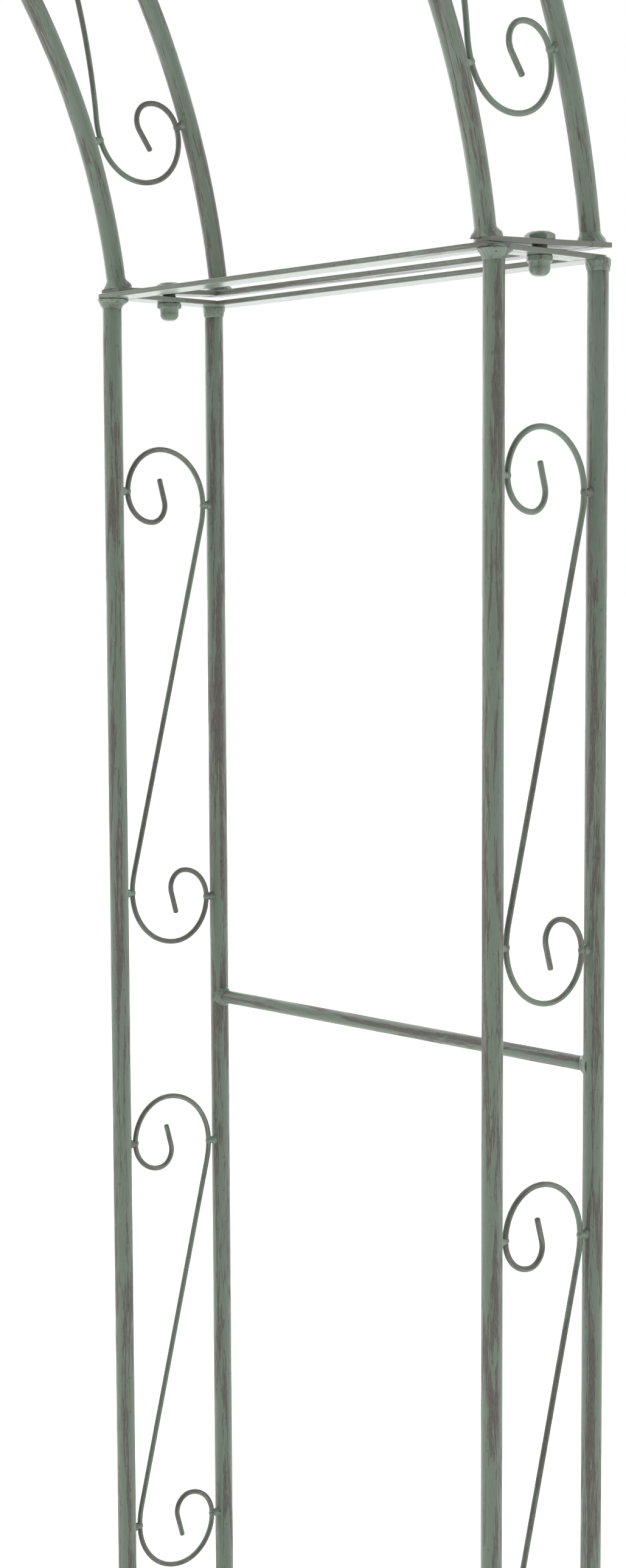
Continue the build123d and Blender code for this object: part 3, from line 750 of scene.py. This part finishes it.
def hexSkin(flats, high, turn, bothEnds, cap=None):
    # rings up a hexagonal block: the hexagon, cut by a 30 degree cone at one end or both, then the cap's profile
    a = ringAngles(fastener["around"])
    hexagon, face = hexRing(flats, a), (fastener["nutFace"] if bothEnds else fastener["headFace"]) * flats / 2
    z = np.linspace(0, high, fastener["blockRows"])
    ring = softLess(hexagon[None], face + (high - z)[:, None] * math.sqrt(3) + fastener["coneOver"] + 0 * a[None])
    if bothEnds:
        ring = softLess(ring, face + z[:, None] * math.sqrt(3) + fastener["coneOver"] + 0 * a[None])
    inner = np.array([0.04, 0.5, 0.9])[:, None]
    bottom = inner * ring[:1]
    if cap is None:
        topR, topZ = inner[::-1] * ring[-1:], np.array([high + 0.03 * mm, high + 0.12 * mm, high + 0.15 * mm])
    else:
        topR, topZ = cap[0][:, None] + 0 * a[None], cap[1]
    r = np.concatenate([bottom, ring, topR])
    heights = np.concatenate([np.zeros(3), z, topZ])[:, None] + 0 * a[None]
    rim = np.clip((ring - 1.06 * flats / 2) / (0.06 * flats / 2), 0, 1)
    rims = np.concatenate([0 * bottom, rim, 0 * topR])
    rings = np.stack([r * np.cos(a + turn), r * np.sin(a + turn), heights], -1)
    return rings, rims


def boltSkins(side, sign, turn):
    # a hexagonal head on the tilted foot bar, and a shank whose radius runs round as a thread: r + depth * cos
    head, rims = hexSkin(fastener["headFlats"], fastener["headHigh"], math.radians(turn), False)
    head = tiltBar(head + np.array([panelX, sign * hoopY, towerTop + barThick]))
    lift = footPlaneZ(panelX) - head[0, :, 2].mean()        # seat it on the foot bar above the hole's middle
    head = head + np.array([panelX - head[0, :, 0].mean(), 0, lift])
    z = np.arange(towerTop - barThick - 3 * mm, footPlaneZ(panelX) + 2 * mm, fastener["pitch"] / 8)[:, None]
    a = ringAngles(fastener["shankAround"])[None]
    r = fastener["shankR"] + fastener["threadDeep"] * np.cos(fullTurn * z / fastener["pitch"] - a)
    shank = np.stack([panelX + r * np.cos(a), sign * hoopY + r * np.sin(a), z + 0 * a], -1)
    return [mirrored(skin(head, None, rims), side), mirrored(skin(shank), side)]


def nutSkin(side, sign, turn):
    # a hexagonal block, then a turned dome: cylinder, quarter circle and a small flat, all hanging downwards
    bend = np.linspace(0, quarter, 14)
    domeR, domeRound, hexHigh, high = (fastener[key] for key in ("domeR", "domeRound", "nutHexHigh", "nutHigh"))
    capR = np.concatenate([[domeR + 0.25 * mm, domeR, domeR], domeR - domeRound + domeRound * np.cos(bend),
                           [1.2 * mm, 0.1 * mm]])
    capZ = np.concatenate([[hexHigh, hexHigh + 0.25 * mm, high - domeRound - 0.2 * mm],
                           high - domeRound + domeRound * np.sin(bend), [high + 0.05 * mm, high + 0.08 * mm]])
    rings, rims = hexSkin(fastener["nutFlats"], fastener["nutHexHigh"], math.radians(turn), True, (capR, capZ))
    rings = rings * np.array([1, -1, -1]) + np.array([panelX, sign * hoopY, towerTop - barThick])
    return mirrored(skin(rings, None, rims), side)


corners = [("right", -1), ("right", 1), ("left", 1), ("left", -1)]
boltParts = [one for (side, sign), turn in zip(corners, fastener["headTurns"]) for one in boltSkins(side, sign, turn)]
makePiece("hexagon_bolts", boltParts, ["joint_bolts"], fastenerPaint)
makePiece("domed_cap_nuts", [nutSkin(side, sign, turn) for (side, sign), turn in zip(corners, fastener["nutTurns"])],
          ["joint_cap_nuts"], fastenerPaint)

plug = {"round": 0.9 * mm, "stemR": 5.7 * mm, "stemHigh": 6 * mm, "around": 48, "underGap": 0.3 * mm}


def plugSkin(x, y):
    # turned profile: a flat foot with a rounded edge, then a stem up inside the tube
    bend = np.linspace(0, quarter, 8)
    r = np.concatenate([[0.1 * mm, 3 * mm], tubeR - plug["round"] + plug["round"] * np.sin(bend),
                        [tubeR, tubeR - plug["underGap"], plug["stemR"], plug["stemR"]]])
    z = np.concatenate([[0, 0], plug["round"] - plug["round"] * np.cos(bend),
                        [postFoot - plug["underGap"], postFoot, postFoot, plug["stemHigh"]]])
    a = ringAngles(plug["around"])[None]
    return skin(np.stack([x + r[:, None] * np.cos(a), y + r[:, None] * np.sin(a), z[:, None] + 0 * a], -1))


postSpots = [nodeMiddle(f"{side}_{face}_{place}_post") for side in ("right", "left") for face in ("front", "rear")
             for place in ("inner", "outer")]
makePiece("post_foot_plugs", [plugSkin(spot[0], spot[1]) for spot in postSpots], ["foot_plugs"],
          plugFinish, 40)
print("fasteners and plugs made")


# Welds

weld = {
    "around": 84, "collarHigh": 7.6 * mm, "collarLeg": 3.6 * mm, "lump": 0.9 * mm, "rib": 0.42 * mm,
    "overhang": 0.6 * mm, "skinOver": 0.3 * mm, "capOver": 1.1 * mm, "capTop": 2.0 * mm, "outerLeg": 1.1 * mm,
    "puddle": 2.1 * mm, "puddleAngle": -0.45, "puddleWide": 0.42,      # a lump where each bead was stopped
    "railOver": 2.2 * mm, "railLong": 3.4 * mm, "tackAcross": (3.4 * mm, 2.5 * mm, 4.3 * mm),
    "tackThick": (2.55 * mm, 2.2 * mm, 3.3 * mm), "tackLump": 0.35 * mm,
}


def beadLumps(rows, seed, size, ribs=9.0):
    # slow swellings round the bead, with the ripples that a moving puddle leaves
    draw = np.random.default_rng(seed)
    around = weld["around"]
    a = ringAngles(around)[None]
    v = np.linspace(0, 1, rows)[:, None]
    slow = wander((rows, around), seed, (2, 3, 5, 8), 2.0)
    count = int(ribs + draw.integers(-1, 2)) * 2
    ripple = np.abs(np.sin(a * count / 2 + 1.3 * np.sin(a + draw.uniform(0, 6)) + v * draw.uniform(1.5, 3.0)))
    return size * slow + weld["rib"] * (ripple - 0.6)


def puddle(a, v, middle, spread, seed):
    # bell-shaped lump at one angle and one height of a bead
    where = weld["puddleAngle"] + np.random.default_rng(seed).uniform(-0.25, 0.25)
    off = (a - where + math.pi) % fullTurn - math.pi
    return weld["puddle"] * np.exp(-(off / weld["puddleWide"]) ** 2 - ((v - middle) / spread) ** 2)


def boxReach(a, right, left, across):
    # distance to a rectangle's edge at each angle, with its corners eased
    x = np.where(np.cos(a) > 0, right, left) / np.maximum(np.abs(np.cos(a)), 1e-6)
    return softLess(x, across / np.maximum(np.abs(np.sin(a)), 1e-6), 8)


def hoopFootWeld(radius, x, sign, side, seed):
    # from inside the bar up round the foot of the tube: tube + leg times a falling power of the height
    a, rows = ringAngles(weld["around"]), 16
    v = np.linspace(0, 1, rows)[:, None]
    flare = tubeR + weld["skinOver"] * (1 - v) + weld["collarLeg"] * (1 - v) ** 1.9
    flare = flare + beadLumps(rows, seed, weld["lump"]) * np.sin(math.pi * np.clip(v + 0.22, 0, 1)) ** 0.8
    flare = flare + puddle(a, v, 0.45, 0.33, seed)
    left = barWide / 2
    if radius == hoopRadius["inner"]:
        left = max(tubeR + weld["skinOver"], x - pivotX + weld["overhang"])
    limit = boxReach(a, barWide / 2 + weld["overhang"], left, barWide / 2 + 0.3 * mm)[None]
    r = np.maximum(softLess(flare, limit + 0 * flare, 12), tubeR + 0.12 * mm)
    r[-1] = tubeR - 0.5 * mm
    tangent = math.asin((footPlaneZ(x) - centreZ) / radius)
    swell = wander((rows, weld["around"]), seed + 7, (1, 2, 3, 5), 0.5)
    up = v * weld["collarHigh"] * (0.95 + 0.3 * swell)
    px = x + r * np.cos(a) - up * math.sin(tangent)
    py = sign * hoopY + r * np.sin(a)
    pz = footPlaneZ(x + r * np.cos(a)) - 0.4 * mm + up * math.cos(tangent)
    return mirrored(skin(np.stack([px, py, pz], -1)), side)


def postTopWeld(x, sign, side, leg, seed):
    # flares up to the frame's underside, then caps the part of the tube's end that the frame leaves bare
    a, rows = ringAngles(weld["around"]), 15
    v = np.linspace(0, 1, rows)[:, None]
    flare = tubeR + 0.1 * mm + leg * v ** (1.5 if leg > weld["outerLeg"] else 0.6)
    flare = flare + beadLumps(rows, seed, weld["lump"] * 0.8) * np.sin(math.pi * np.clip(v * 0.85 + 0.04, 0, 1)) ** 0.8
    flare = flare + puddle(a, v, 0.8, 0.3, seed) * leg / weld["collarLeg"]
    r = np.maximum(flare, tubeR + 0.1 * mm)
    r[0] = tubeR - 0.5 * mm
    swell = wander((rows, weld["around"]), seed + 7, (1, 2, 3, 5), 0.5)
    z = (v - 1) * weld["collarHigh"] * (0.9 + 0.3 * swell) - 0.3 * mm
    bend = np.linspace(0, quarter, 8)[:, None]
    capWide = tubeR + weld["capOver"] + 0.3 * mm * wander((8, weld["around"]), seed + 11, (2, 3, 5), 1.0)
    capR = (capWide - 2.2 * mm) + 2.2 * mm * np.cos(bend)
    capZ = weld["capTop"] * np.sin(bend) + 0 * capR
    centre = np.array([[0.5], [0.02]]) * (tubeR + 0 * capR[:2])
    r = np.concatenate([r, capR, centre])
    z = np.concatenate([z + 0 * r[:rows], capZ, weld["capTop"] + 0 * centre])
    rings = np.stack([x + r * np.cos(a), sign * postY + r * np.sin(a), towerTop - barThick + z], -1)
    return mirrored(skin(rings), side)


def crossbarWeld(middle, radius, tubeY, acrossDir, alongDir, seed):
    # from inside the tube out along the rod: starts on the tube's curve, thins to the rod
    a, rows = ringAngles(weld["around"]), 12
    v = np.linspace(-0.35, 1, rows)[:, None]
    r = radius + 0.12 * mm + weld["railOver"] * np.clip(1 - v, 0, 1.2) ** 1.3
    r = r + beadLumps(rows, seed, 0.4 * mm, 7.0) * np.clip(np.sin(math.pi * np.clip(v * 0.8 + 0.2, 0, 1)), 0, 1)
    r = np.maximum(r, radius + 0.05 * mm)
    r[-1] = radius - 0.4 * mm
    sideways = np.clip(r * np.cos(a) / tubeR, -0.97, 0.97)
    swell = wander((rows, weld["around"]), seed + 5, (2, 3), 0.5)
    depth = tubeR * np.sqrt(1 - sideways ** 2) + v * weld["railLong"] * (1 + 0.15 * swell)
    y = tubeY - math.copysign(1, tubeY) * depth
    flat = middle * np.array([1, 0, 1])
    points = flat + (r * np.cos(a))[..., None] * acrossDir + (r * np.sin(a))[..., None] * alongDir
    return skin(points + np.stack([0 * y, y, 0 * y], -1))


def tackSkin(u0, v0, u1, place, seed):
    # a blob from round the wire across to the tube: an oval whose two widths follow three values, with lumps
    rows, around = 15, 26
    t = np.linspace(0, 1, rows)
    knots = (0.0, 0.45, 1.0)
    across = np.interp(t, knots, weld["tackAcross"])[:, None]
    thick = np.interp(t, knots, weld["tackThick"])[:, None]
    shut = np.sqrt(np.clip(1 - (1 - np.minimum(t / 0.25, 1)) ** 2, 0, 1))[:, None]
    shut[-1] = 0.55
    a = ringAngles(around)[None]
    lump = 1 + weld["tackLump"] / (3 * mm) * wander((rows, around), seed, (2, 3, 4), 3.0)
    start = u0 - math.copysign(2.5 * mm, u1 - u0)
    u = start + (u1 - start) * t[:, None] + 0 * a
    shut = np.maximum(shut, 0.05)
    points = np.stack([u, thick * shut * lump * np.sin(a), v0 + across * shut * lump * np.cos(a)], -1)
    return skin(place(points))


hoopWelds, postWelds, rodWelds, tacks = [], [], [], []
for corner, (side, sign) in enumerate(corners):
    for k, (place, x) in enumerate((("inner", innerX), ("outer", outerX))):
        hoopWelds.append(hoopFootWeld(hoopRadius[place], x, sign, side, seedOf["hoopWeld"] + corner * 10 + k))
        leg = weld["outerLeg"] if k else weld["collarLeg"]
        postWelds.append(postTopWeld(x, sign, side, leg, seedOf["postWeld"] + corner * 10 + k))
for index, node in enumerate(rodNodes):
    low, high = nodeSpan(node)
    middle, radius = (low + high) / 2, (high - low)[2] / 2
    turn = 0.0 if "arch" not in node else math.atan2(middle[2] - centreZ, middle[0])
    tubeY = postY if "arch" not in node else hoopY
    acrossDir = np.array([math.cos(turn), 0, math.sin(turn)])
    alongDir = np.array([-math.sin(turn), 0, math.cos(turn)])
    for k, y in enumerate((-tubeY, tubeY)):
        rodWelds.append(crossbarWeld(middle, radius, y, acrossDir, alongDir, seedOf["rodWeld"] + index * 4 + k))

halfPanel = (outerX - innerX) / 2
intoTube = tubeR - 1.6 * mm
touches = [(halfSpan, outerTouch, halfPanel - intoTube), (-halfSpan, innerTouch, intoTube - halfPanel)]
seed = seedOf["tack"]


def loopFrame(upper, bent):
    # from a loop's own straight frame to the scroll's: half turn for the lower one, and the bend with the hoops
    sign = 1 if upper else -1
    lift = np.array([middleRadius, -sign * outerTouch])

    def moved(p):
        flat = sign * p[..., [0, 2]]
        if bent:
            flat = flatTurn(sign * loopAngle, flat + lift)
        return np.stack([flat[..., 0], p[..., 1], flat[..., 1]], -1)
    return moved


spots = [(towerPlace(side, face, index), False) for side in ("right", "left") for face in ("front", "rear")
         for index in range(3)]
spots += [(archPlace(index, face), True) for face in ("front", "rear") for index in range(3)]
for place, bent in spots:
    for upper in (True, False):
        frameOf = loopFrame(upper, bent)
        for u0, v0, u1 in touches:
            seed += 1
            tacks.append(tackSkin(u0, v0, u1, lambda p, f=frameOf, g=place: g(f(p)), seed))
makePiece("arch_foot_weld_beads", hoopWelds, ["hoop_foot_welds"], weldPaint)
makePiece("upright_top_weld_beads", postWelds, ["post_top_welds"], weldPaint)
makePiece("crossbar_weld_beads", rodWelds, ["crossbar_welds"], weldPaint)
makePiece("scroll_tack_welds", tacks, ["scroll_welds"], weldPaint)
print("welds made")


# Floor, light and camera

studio = {
    "floorHalf": 90.0, "floorDrop": 0.0005, "floorWhite": 0.95, "floorGlow": 0.45, "floorRough": 0.9, "skyShown": 1.0,
    "backdrop": (0.6726, 0.7354, 0.0),          # level direction in which the sky brightens, from skyFront to skyBack
    "skyFront": 0.22, "skyBack": 1.8, "skyTurn": 0.85,
    "lamps": (      # size, place, aimed at, power
        (2.2, (-2.6, -0.2, 2.9), (0.45, 0.0, 1.3), 14.0),
        (1.6, (1.9, -2.3, 2.2), (0.5, 0.0, 1.2), 3.0),
        (2.4, (0.6, 2.8, 2.4), (0.5, 0.0, 1.3), 20.0),
    ),
}
floorMesh = bpy.data.meshes.new("studio_floor")
floorCorners = [(x * studio["floorHalf"], y * studio["floorHalf"], -studio["floorDrop"])
                for x, y in ((-1, -1), (1, -1), (1, 1), (-1, 1))]
floorMesh.from_pydata(floorCorners, [], [(0, 1, 2, 3)])
floorPiece = bpy.data.objects.new("studio_floor", floorMesh)
bpy.context.scene.collection.objects.link(floorPiece)
floorFinish = bpy.data.materials.new("whiteFloor")
floorFinish.use_nodes = True
floorShader = floorFinish.node_tree.nodes["Principled BSDF"]
floorShader.inputs["Base Color"].default_value = (studio["floorWhite"],) * 3 + (1.0,)
floorShader.inputs["Roughness"].default_value = studio["floorRough"]
floorShader.inputs["Emission Color"].default_value = (1, 1, 1, 1)
floorShader.inputs["Emission Strength"].default_value = studio["floorGlow"]
floorMesh.materials.append(floorFinish)

world = bpy.data.worlds.new("studioSky")
bpy.context.scene.world = world
world.use_nodes = True
sky = world.node_tree
sky.nodes.clear()
shown = addNode(sky, "ShaderNodeBackground", {"Color": (1, 1, 1, 1), "Strength": studio["skyShown"]})
towards = addNode(sky, "ShaderNodeVectorMath", {0: addNode(sky, "ShaderNodeTexCoord").outputs["Generated"],
                                                1: studio["backdrop"]}, operation="DOT_PRODUCT").outputs["Value"]
strength = ramp(sky, towards, -studio["skyTurn"], studio["skyTurn"], studio["skyFront"], studio["skyBack"])
lighting = addNode(sky, "ShaderNodeBackground", {"Color": (0.985, 1.0, 1.0, 1), "Strength": strength})
pathKind = addNode(sky, "ShaderNodeLightPath")
mixed = addNode(sky, "ShaderNodeMixShader", {0: pathKind.outputs["Is Camera Ray"], 1: lighting.outputs[0],
                                             2: shown.outputs[0]})
addNode(sky, "ShaderNodeOutputWorld", {0: mixed.outputs[0]})


def aim(place, target):
    # rotation whose -Z looks from place to target, with Y as near up as it goes
    forward = np.array(target, float) - np.array(place, float)
    forward /= np.linalg.norm(forward)
    right = np.cross(forward, [0, 0, 1])
    right /= np.linalg.norm(right)
    return turnedTo(place, right, forward)


def turnedTo(place, right, forward):
    # matrix whose columns are right, up = right x forward, backward, and the place
    up = np.cross(right, forward)
    made = Matrix.Identity(4)
    for column, axis in enumerate((right, up, -forward, np.array(place, float))):
        for row in range(3):
            made[row][column] = axis[row]
    return made


for index, (size, place, target, power) in enumerate(studio["lamps"]):
    lamp = bpy.data.lights.new(f"softBox{index + 1}", "AREA")
    lamp.shape, lamp.size, lamp.energy = "DISK", size, power
    holder = bpy.data.objects.new(f"softBox{index + 1}", lamp)
    bpy.context.scene.collection.objects.link(holder)
    holder.matrix_world = aim(place, target)

view = {"place": (-0.6785, -1.2919, 1.3742), "forward": (0.66868, 0.73724, -0.09673), "roll": -0.00491,
        "lens": 58.0, "shiftY": 0.0200}
cameraData = bpy.data.cameras.new("camera")
cameraData.lens, cameraData.sensor_width, cameraData.sensor_fit = view["lens"], 36.0, "AUTO"
cameraData.shift_y = view["shiftY"]
cameraData.clip_start, cameraData.clip_end = 0.02, 400.0
cameraPiece = bpy.data.objects.new("camera", cameraData)
bpy.context.scene.collection.objects.link(cameraPiece)
forward = np.array(view["forward"]) / np.linalg.norm(view["forward"])
right = np.cross(forward, [0, 0, 1])
right /= np.linalg.norm(right)
right = right * math.cos(view["roll"]) + np.cross(right, forward) * math.sin(view["roll"])
cameraPiece.matrix_world = turnedTo(view["place"], right, forward)
bpy.context.scene.camera = cameraPiece
bpy.context.scene.view_settings.view_transform = "Standard"
print("studio set")
